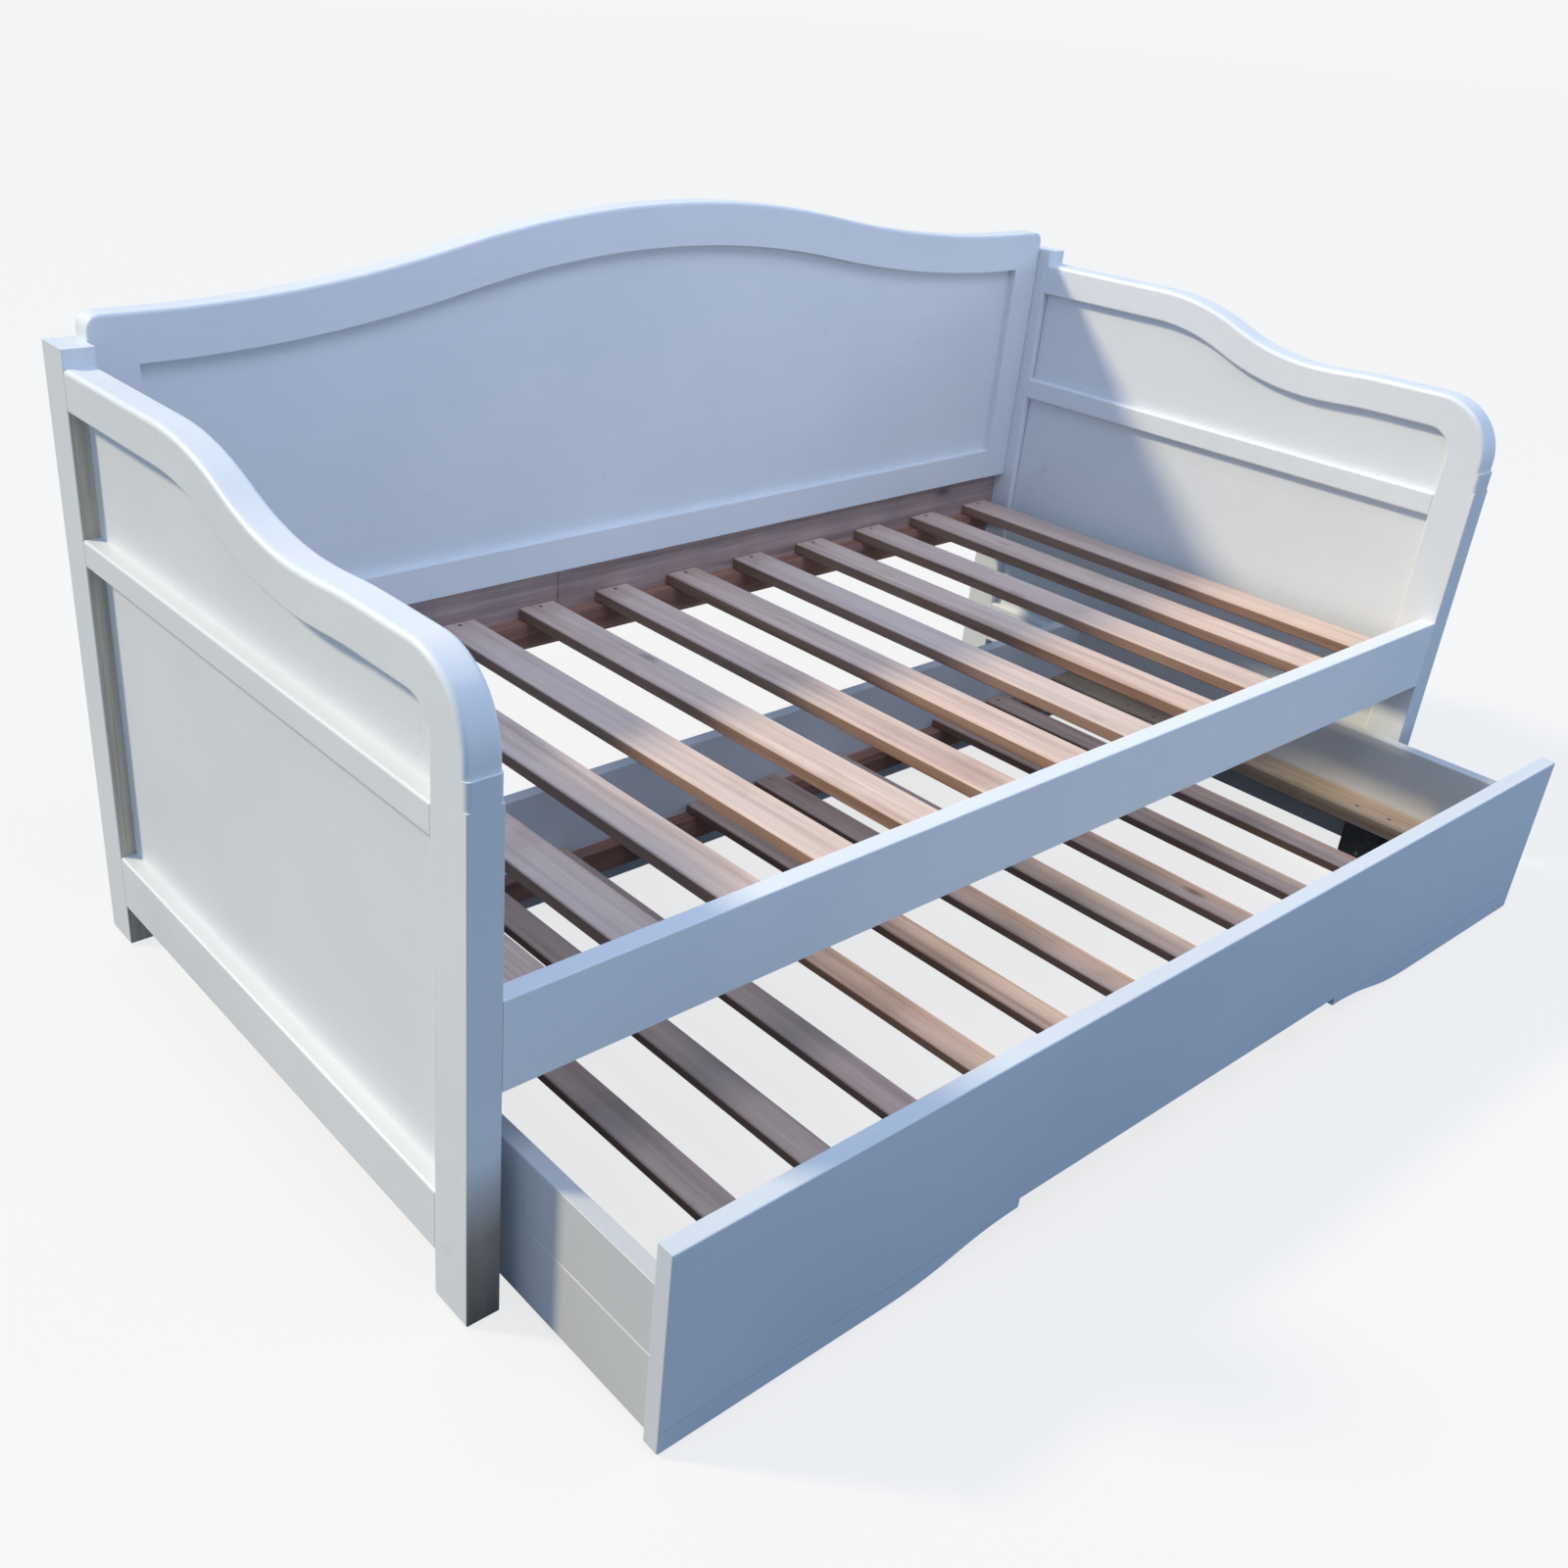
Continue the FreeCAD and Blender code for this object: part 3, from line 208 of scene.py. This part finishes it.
def sawn_wood(name, axis, pale, middle, dark, grey, roughness, board_run, top_face_level=None):
    """Planed softwood with a straight grain, darker late wood, a few knots and a tone of its own on
    each board. Below the top face level, the height of a slat's top face, the sides are darker."""
    finish = Finish(name)
    wander_place = finish.stretched(along(axis, lengthways=1.6, across=9.0))
    wander = finish.noise(wander_place, detail=2.0)
    rings = finish.add("ShaderNodeTexNoise", noise_dimensions="4D")
    ring_place = finish.stretched(along(axis, lengthways=1.1, across=62.0))
    finish.join(ring_place, rings.inputs["Vector"])
    finish.join(finish.times(wander, 3.0), rings.inputs["W"])
    rings.inputs["Scale"].default_value = 1.0
    rings.inputs["Detail"].default_value = 3.0
    rings.inputs["Distortion"].default_value = 0.35
    grain = finish.span(rings.outputs["Fac"], 0.3, 0.72)
    fibre_place = finish.stretched(along(axis, lengthways=9.0, across=620.0))
    fibres = finish.noise(fibre_place, roughness=0.6)
    tint = finish.colours(grain, (0.0, pale), (0.45, middle), (1.0, dark))
    fibred = finish.mix(finish.span(fibres, 0.42, 0.72, to=(0.0, 0.42)), tint, dark)

    cells = finish.add("ShaderNodeTexVoronoi", feature="F1")
    cell_place = finish.stretched(along(axis, lengthways=3.1, across=8.0))
    finish.join(cell_place, cells.inputs["Vector"])
    cells.inputs["Scale"].default_value = 1.0
    knots = finish.span(cells.outputs["Distance"], 0.09, 0.03)
    knotted = finish.mix(finish.times(knots, 0.7), fibred, KNOT_BROWN)

    board_tone = finish.noise(finish.stretched((board_run, 0.25, 0.25)), detail=1.0)
    silvered = finish.mix(finish.span(board_tone, 0.35, 0.68, to=(0.05, 0.5)), knotted, grey)
    blotches = finish.noise(finish.place, scale=5.5, detail=6.0, roughness=0.62)
    stain = finish.span(blotches, 0.55, 0.78, to=(0.0, 0.35))
    stained = finish.mix(stain, silvered, dark, "MULTIPLY")
    # Below the top face, a slat's sides are darker.
    if top_face_level:
        height = finish.axis("Z")
        edges = finish.span(height, top_face_level - SIDE_TONE_FROM, top_face_level - SIDE_TONE_FULL)
        stained = finish.mix(edges, stained, SLAT_SIDE_TONE, "MULTIPLY")
    finish.base(stained)
    finish.rough(finish.span(fibres, 0.3, 0.7, to=(roughness - 0.1, roughness + 0.12)))
    finish.relief(fibres, strength=0.35, depth=0.0005)
    finish.relief(grain, strength=0.25, depth=0.0006)
    finish.set(IOR=1.45)
    return finish.material


def zinc(name):
    """Zinc plating: a brushed, slightly clouded metal."""
    finish = Finish(name)
    cloud = finish.span(finish.noise(finish.place, scale=90.0), 0.3, 0.7)
    finish.base(finish.colours(cloud, (0.0, srgb(150, 148, 142)), (1.0, srgb(206, 204, 198))))
    spangle = finish.noise(finish.place, scale=260.0, detail=3.0)
    finish.rough(finish.span(spangle, 0.3, 0.7, to=(0.28, 0.5)))
    brushing = finish.noise(finish.stretched((900.0, 60.0, 900.0)), detail=2.0)
    finish.relief(brushing, strength=0.15, depth=0.0001)
    finish.set(Metallic=1.0)
    return finish.material


def moulded(name, dark, light, roughness, grit):
    """Matte moulded plastic with a fine grain, dusty in places."""
    finish = Finish(name)
    dust_and_shade = finish.noise(finish.place, scale=26.0, detail=6.0, roughness=0.65)
    finish.base(finish.mix(finish.times(finish.span(dust_and_shade, 0.5, 0.75), 0.5), dark, light))
    wear = finish.noise(finish.place, scale=60.0)
    finish.rough(finish.span(wear, 0.3, 0.7, to=(roughness - 0.08, roughness + 0.12)))
    finish.relief(finish.noise(finish.place, scale=grit, detail=2.0), strength=0.3, depth=0.0002)
    return finish.material


def beech(name):
    """Turned beech with short flecks."""
    finish = Finish(name)
    flecks = finish.noise(finish.stretched((120.0, 120.0, 120.0)), detail=5.0)
    ray_flecks = finish.span(flecks, 0.35, 0.7)
    finish.base(finish.colours(ray_flecks, (0.0, srgb(206, 170, 122)), (1.0, srgb(158, 112, 70))))
    finish.rough(finish.span(flecks, 0.3, 0.7, to=(0.5, 0.7)))
    finish.relief(flecks, strength=0.3, depth=0.0003)
    return finish.material


# ---- Painted shade on the posts ----

# A post's painted shade is full strength this close behind its front face, and gone this much
# deeper.
FACE_SKIN, FACE_FADE = 0.0004, 0.0022
# Heights on the front posts: where the painted shade at the foot ends, where it is full, where it
# is palest.
FOOT_SHADE_TOP, FOOT_SHADE_FULL, FOOT_SHADE_PALE = 0.235, 0.12, 0.14
# Painted shade: the light and dark browns of the darkening at a front post's foot, and the grey of
# its shaded front face.
FOOT_SHADE_LIGHT, FOOT_SHADE_DARK = srgb(140, 126, 113), srgb(106, 95, 85)
FRONT_FACE_SHADE = srgb(138, 152, 172)
# The recessed strip of a rear post: how far from the bed's middle it starts and is full, and the
# height above which it has no painted shade.
RECESS_FROM, RECESS_FULL = 0.966, 0.968
RECESS_SHADE_TOP, RECESS_SHADE_FULL = 0.866, 0.862
# Painted shade: the dark and pale greys of the shade in a rear post's recess.
RECESS_SHADE_DARK, RECESS_SHADE_PALE = srgb(176, 165, 146), srgb(206, 196, 176)


def box_corner(name, pick):
    """The lowest or highest corner of a CAD node, as min or max picks it."""
    corners = nodes[name].bound_box
    return Vector([pick(corner[i] for corner in corners) for i in range(3)])


def front_share(finish, post):
    """How near the paint is to a post's front face, one on the face itself."""
    skin = box_corner(post, min).y + FACE_SKIN
    return finish.span(finish.axis("Y"), skin + FACE_FADE, skin)


def painted_foot_shade(finish, colour):
    """Painted shade on the front of a front post: the face greyed slightly all the way up, and
    darker towards the foot, fading out above it."""
    face = front_share(finish, "left_front_post")
    # Painted shade: the front face is greyed a little all the way up.
    shaded_face = finish.mix(finish.times(face, 0.2), colour, FRONT_FACE_SHADE)
    low_down = finish.span(finish.axis("Z"), FOOT_SHADE_TOP, FOOT_SHADE_FULL)
    cloud = finish.span(finish.noise(finish.stretched((30.0, 30.0, 7.0))), 0.3, 0.7, to=(0.84, 1.0))
    amount = finish.times(finish.times(face, low_down), cloud)
    # Painted shade at the foot, darkest at the floor.
    foot_shade_colour = finish.mix(finish.span(finish.axis("Z"), FOOT_SHADE_PALE, 0.0), FOOT_SHADE_LIGHT, FOOT_SHADE_DARK)
    return finish.mix(amount, shaded_face, foot_shade_colour)


def painted_recess_shade(finish, colour):
    """Painted shade on the recessed outer edge of a rear post, below its arm."""
    face = front_share(finish, "left_rear_post")
    outer = finish.span(finish.reckon("ABSOLUTE", finish.axis("X")), RECESS_FROM, RECESS_FULL)
    under_arm = finish.span(finish.axis("Z"), RECESS_SHADE_TOP, RECESS_SHADE_FULL)
    streaks = finish.noise(finish.stretched((260.0, 260.0, 5.0)), detail=3.0)
    # Painted shade in the recess, streaked from dark to pale.
    dust_and_shade = finish.colours(finish.span(streaks, 0.35, 0.65), (0.0, RECESS_SHADE_DARK), (1.0, RECESS_SHADE_PALE))
    share = finish.times(finish.times(face, outer), under_arm)
    return finish.mix(finish.times(share, 0.95), colour, dust_and_shade)


# ---- The finishes of this bed ----

FRAME_PAINT = {"light": srgb(226, 231, 236), "shade": srgb(219, 225, 231), "sheen": (0.36, 0.5)}

frame_white = {
    axis: satin_paint("frame paint brushed along " + axis, axis, **FRAME_PAINT) for axis in "xyz"
}
# Front posts: the frame white, with painted shade on the front face and at the foot.
front_post_shaded_white = satin_paint(
    "front post paint with painted shade at the foot", "z", **FRAME_PAINT, painted_shade=painted_foot_shade)
# Rear posts: the frame white, with painted shade in the outer recess.
rear_post_shaded_white = satin_paint(
    "rear post paint with painted shade in the recess", "z", **FRAME_PAINT, painted_shade=painted_recess_shade)
trundle_front_white = satin_paint(
    "trundle front paint", "x",
    light=srgb(212, 219, 226), shade=srgb(205, 212, 220), sheen=(0.46, 0.6))
# Painted shade: the trundle sides get a darker, greyer copy of the white paint, standing in for the
# shade they sit in.
trundle_side_shaded_white = satin_paint(
    "trundle side paint with painted shade", "y",
    light=srgb(203, 206, 209), shade=srgb(196, 199, 203), sheen=(0.5, 0.64))

slat_pine = sawn_wood(
    "bed slat pine", "y",
    pale=srgb(228, 205, 190), middle=srgb(211, 186, 171), dark=srgb(166, 138, 124),
    grey=srgb(208, 194, 188), roughness=0.66, board_run=6.2,
    top_face_level=box_corner("bed_slat_01", max).z)
trundle_pine = sawn_wood(
    "trundle slat pine", "y",
    pale=srgb(222, 196, 180), middle=srgb(206, 178, 163), dark=srgb(160, 130, 116),
    grey=srgb(200, 182, 173), roughness=0.7, board_run=6.5,
    top_face_level=box_corner("trundle_slats", max).z)
ledger_pine = sawn_wood(
    "ledger pine", "x",
    pale=srgb(186, 142, 124), middle=srgb(160, 116, 100), dark=srgb(112, 76, 64),
    grey=srgb(148, 116, 106), roughness=0.72, board_run=1.3)
bearer_pine = sawn_wood(
    "bearer pine", "y",
    pale=srgb(194, 172, 150), middle=srgb(174, 152, 130), dark=srgb(128, 106, 88),
    grey=srgb(164, 150, 136), roughness=0.68, board_run=1.3)
rail_pine = sawn_wood(
    "rear rail pine", "x",
    pale=srgb(198, 178, 172), middle=srgb(178, 154, 150), dark=srgb(132, 108, 104),
    grey=srgb(172, 158, 160), roughness=0.72, board_run=1.3)

zinc_plate = zinc("zinc plate")
castor_grey = moulded("castor housing grey", srgb(44, 46, 50), srgb(96, 96, 96),
                      roughness=0.55, grit=700.0)
tread_grey = moulded("wheel tread grey", srgb(30, 31, 33), srgb(84, 82, 80),
                     roughness=0.72, grit=900.0)
glide_black = moulded("glide black", srgb(34, 34, 34), srgb(80, 78, 74),
                      roughness=0.6, grit=800.0)
hub_grey = moulded("wheel hub grey", srgb(92, 94, 97), srgb(132, 130, 126),
                   roughness=0.5, grit=800.0)
dowel_beech = beech("dowel beech")

END_BOARDS = ("top_rail", "middle_rail", "bottom_rail", "upper_panel", "lower_panel")
LONG_BOARDS = ("back_top_rail", "back_bottom_rail", "back_panel", "front_rail")
LEDGERS = ("front_ledger", "rear_ledger", "trundle_front_ledger", "trundle_rear_ledger")
METALWARE = ("slat_screws", "bracket_screws", "corner_brackets", "cam_bolts", "cam_locks",
             "trundle_screws", "castor_axles")

finishes = {
    "rear_rail": rail_pine,
    "frame_dowels": dowel_beech,
    "leg_glides": glide_black,
    "castor_housings": castor_grey,
    "trundle_slats": trundle_pine,
    "trundle_front_board": trundle_front_white,
    "trundle_rear_board": trundle_front_white,
}
for side in ("left", "right"):
    for board in END_BOARDS:
        finishes["%s_%s" % (side, board)] = frame_white["y"]
    finishes["%s_front_post" % side] = front_post_shaded_white
    finishes["%s_rear_post" % side] = rear_post_shaded_white
    finishes["back_%s_stile" % side] = frame_white["z"]
    for level in ("lower", "upper"):
        finishes["trundle_%s_%s_board" % (side, level)] = trundle_side_shaded_white
    finishes["trundle_%s_bearer" % side] = bearer_pine
    for end in ("front", "rear"):
        finishes["%s_%s_wheel" % (side, end)] = tread_grey
finishes.update(dict.fromkeys(LONG_BOARDS, frame_white["x"]))
finishes.update(dict.fromkeys(LEDGERS, ledger_pine))
finishes.update(dict.fromkeys(METALWARE, zinc_plate))

for name, piece in nodes.items():
    piece.data.materials.clear()
    piece.data.materials.append(slat_pine if name.startswith("bed_slat") else finishes[name])


# ---- The castor wheels, with their spokes and tread ----

WHEEL_SIDES = 48
TYRE_SHOULDER = 0.0012
TYRE_DEPTH = 0.006
# The web between the tyre and the hub is sunk, with a steep wall on both sides.
WALL = 0.0006
WEB_SUNK = 0.0035
WEB_DEPTH = 0.0095
BORE_RADIUS = 0.00406
BORE_CHAMFER = 0.0003
# Deeper pockets in the web leave the spokes standing.
SPOKES = 6
SPOKE_SHARE = 0.25
POCKET_INNER, POCKET_RIM = 0.011, 0.008
POCKET_DEPTH = 0.0015
TREAD_LAND, TREAD_DEPTH = 0.0007, 0.0009
EDGE_ROUND = 0.0003
SMOOTH_ANGLE = math.radians(35)


def around_axle(face, middle):
    """How far a face of a wheel is from the axle, and its turn about it as a share of a round."""
    arm = face.center - middle
    return math.hypot(arm.y, arm.z), math.atan2(arm.z, arm.y) / math.tau % 1.0


def looks_along_axle(face):
    return abs(face.normal.x) > 0.9


def choose_faces(piece, chosen):
    """Selects only the faces that the rule picks, while the piece is in edit mode."""
    bpy.ops.mesh.select_all(action="DESELECT")
    bpy.ops.object.mode_set(mode="OBJECT")
    for face in piece.data.polygons:
        face.select = chosen(face)
    bpy.ops.object.mode_set(mode="EDIT")


def castor_wheel(name):
    """A moulded wheel: a tyre with pockets round its tread, a sunk web between six spokes, and
    a raised hub with the axle's bore."""
    low, high = (Vector(corner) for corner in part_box(name))
    middle = (low + high) / 2
    radius = (high.z - low.z) / 2
    bpy.ops.object.select_all(action="DESELECT")
    bpy.ops.mesh.primitive_cylinder_add(
        vertices=WHEEL_SIDES, radius=radius, depth=high.x - low.x, location=middle,
        rotation=(0, math.pi / 2, 0))
    wheel = bpy.context.object
    wheel.name = name.replace("_wheel", "_castor_wheel")
    bpy.ops.object.transform_apply(location=True, rotation=True, scale=True)

    bpy.ops.object.mode_set(mode="EDIT")
    bpy.ops.mesh.select_mode(type="FACE")
    choose_faces(wheel, looks_along_axle)
    to_hub = ((TYRE_SHOULDER, 0.0), (TYRE_DEPTH, 0.0), (WALL, -WEB_SUNK), (WEB_DEPTH, 0.0),
              (WALL, WEB_SUNK))
    for thickness, depth in to_hub:
        bpy.ops.mesh.inset(thickness=thickness, depth=depth)
    flat_radius = radius * math.cos(math.pi / WHEEL_SIDES)
    hub_width = flat_radius - sum(thickness for thickness, depth in to_hub) - BORE_RADIUS
    bpy.ops.mesh.inset(thickness=hub_width - BORE_CHAMFER, depth=0.0)
    bpy.ops.mesh.inset(thickness=BORE_CHAMFER, depth=-BORE_CHAMFER)
    bpy.ops.mesh.bridge_edge_loops()

    def between_spokes(face):
        distance, turn = around_axle(face, middle)
        in_web = POCKET_INNER < distance < radius - POCKET_RIM
        return looks_along_axle(face) and in_web and turn * SPOKES % 1.0 > SPOKE_SHARE

    choose_faces(wheel, between_spokes)
    bpy.ops.mesh.inset(thickness=WALL, depth=-POCKET_DEPTH)

    def tread_pocket(face):
        distance, turn = around_axle(face, middle)
        on_tread = abs(face.normal.x) < 0.1 and distance > radius - 0.001
        return on_tread and int(turn * WHEEL_SIDES) % 2 == 0

    choose_faces(wheel, tread_pocket)
    bpy.ops.mesh.inset(thickness=TREAD_LAND, depth=-TREAD_DEPTH, use_individual=True)
    bpy.ops.mesh.select_all(action="SELECT")
    bpy.ops.mesh.normals_make_consistent(inside=False)
    bpy.ops.object.mode_set(mode="OBJECT")

    edges = wheel.modifiers.new("moulded edges", "BEVEL")
    edges.width = EDGE_ROUND
    edges.segments = 2
    edges.limit_method = "ANGLE"
    bpy.ops.object.modifier_apply(modifier=edges.name)
    bpy.ops.object.shade_smooth_by_angle(angle=SMOOTH_ANGLE)

    wheel.data.materials.append(tread_grey)
    wheel.data.materials.append(hub_grey)
    inside_tyre = radius - TYRE_DEPTH - 0.001
    for face in wheel.data.polygons:
        face.material_index = int(around_axle(face, middle)[0] < inside_tyre)
    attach(wheel, name)
    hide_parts(name)


for wheel_node in sorted(name for name in nodes if name.endswith("_wheel")):
    castor_wheel(wheel_node)


# ---- Floor and surround ----

FLOOR_SIZE = 60
FLOOR_SEEN, FLOOR_BOUNCED = srgb(246, 246, 246), srgb(112, 118, 128)
FLOOR_BASE, FLOOR_GLOW = [0.14, 0.14, 0.14, 1.0], 0.84
SURROUND_SEEN = (0.915, 0.915, 0.915, 1.0)
SURROUND_LIGHT = (0.335, 0.485, 0.7, 1.0)
BLACK = [0.0, 0.0, 0.0, 1.0]


def studio_floor():
    """A pale floor with a faint shadow, which throws a cooler, weaker light back than it shows."""
    finish = Finish("studio floor")
    seen = finish.add("ShaderNodeLightPath").outputs["Is Camera Ray"]
    finish.base(finish.mix(seen, FLOOR_BOUNCED, FLOOR_BASE))
    finish.join(finish.mix(seen, BLACK, FLOOR_SEEN), finish.shader.inputs["Emission Color"])
    finish.set(Roughness=0.95, Specular_IOR_Level=0.0, Emission_Strength=FLOOR_GLOW)
    return finish.material


bpy.ops.mesh.primitive_plane_add(size=FLOOR_SIZE, location=(0, 0, 0))
floor = bpy.context.object
floor.name = "studio_floor"
floor.data.materials.append(studio_floor())

world = bpy.data.worlds.new("studio")
world.use_nodes = True
room = world.node_tree
sky = room.nodes["Background"]
sky.inputs["Color"].default_value = SURROUND_LIGHT
sky.inputs["Strength"].default_value = 1.0
pale = room.nodes.new("ShaderNodeBackground")
pale.inputs["Color"].default_value = SURROUND_SEEN
seen_ray = room.nodes.new("ShaderNodeLightPath")
chosen = room.nodes.new("ShaderNodeMixShader")
room.links.new(seen_ray.outputs["Is Camera Ray"], chosen.inputs["Fac"])
room.links.new(sky.outputs["Background"], chosen.inputs[1])
room.links.new(pale.outputs["Background"], chosen.inputs[2])
room.links.new(chosen.outputs["Shader"], room.nodes["World Output"].inputs["Surface"])
bpy.context.scene.world = world
bpy.context.scene.view_settings.view_transform = "Standard"


# ---- Lights ----

KEY_DIRECTION = (5.0, -5.1, -5.7)
KEY_STRENGTH, KEY_ANGLE, KEY_COLOUR = 2.95, math.radians(7), (1.0, 0.84, 0.57)
OVERHEAD_SPREAD = math.radians(110)


def hang(name, lamp, location, direction):
    """Puts a lamp in the room, looking in a direction."""
    holder = bpy.data.objects.new(name, lamp)
    bpy.context.scene.collection.objects.link(holder)
    holder.location = location
    holder.rotation_euler = Vector(direction).to_track_quat("-Z", "Y").to_euler()


def soft_light(name, location, target, size, power, colour):
    """A rectangular panel of light that looks at a target."""
    lamp = bpy.data.lights.new(name, "AREA")
    lamp.shape = "RECTANGLE"
    lamp.size, lamp.size_y = size
    lamp.energy = power
    lamp.color = colour
    hang(name, lamp, location, Vector(target) - Vector(location))
    return lamp


key = bpy.data.lights.new("key_light", "SUN")
key.energy, key.angle, key.color = KEY_STRENGTH, KEY_ANGLE, KEY_COLOUR
hang("key_light", key, (0, 0, 0), KEY_DIRECTION)

soft_light("front_right", location=(2.6, -2.6, 1.2), target=(0.9, -0.5, 0.3),
           size=(1.2, 1.2), power=13, colour=(0.66, 0.8, 1.0))
soft_light("left_fill", location=(-6.0, 0.2, 2.6), target=(0, 0.1, 0.5),
           size=(4.0, 4.0), power=24, colour=(1.0, 0.86, 0.66))
overhead = soft_light("overhead_cool", location=(0.1, -0.9, 3.0), target=(0.05, 0.5, 0.5),
                      size=(2.2, 1.2), power=10.5, colour=(0.89, 0.85, 1.0))
overhead.spread = OVERHEAD_SPREAD


# ---- Camera ----

CAMERA_PLACE = (-1.69335, -1.43552, 1.37399)
CAMERA_DEGREES = (62.153, -3.201, -39.029)
SENSOR_WIDTH, LENS = 36, 36.14
SHIFT_X, SHIFT_Y = 0.0814, -0.0029

camera_data = bpy.data.cameras.new("view_camera")
camera_data.sensor_width = SENSOR_WIDTH
camera_data.lens = LENS
camera_data.shift_x = SHIFT_X
camera_data.shift_y = SHIFT_Y
camera = bpy.data.objects.new("view_camera", camera_data)
bpy.context.scene.collection.objects.link(camera)
camera.location = CAMERA_PLACE
camera.rotation_euler = Euler([math.radians(angle) for angle in CAMERA_DEGREES], "XYZ")
bpy.context.scene.camera = camera

bpy.context.view_layer.update()
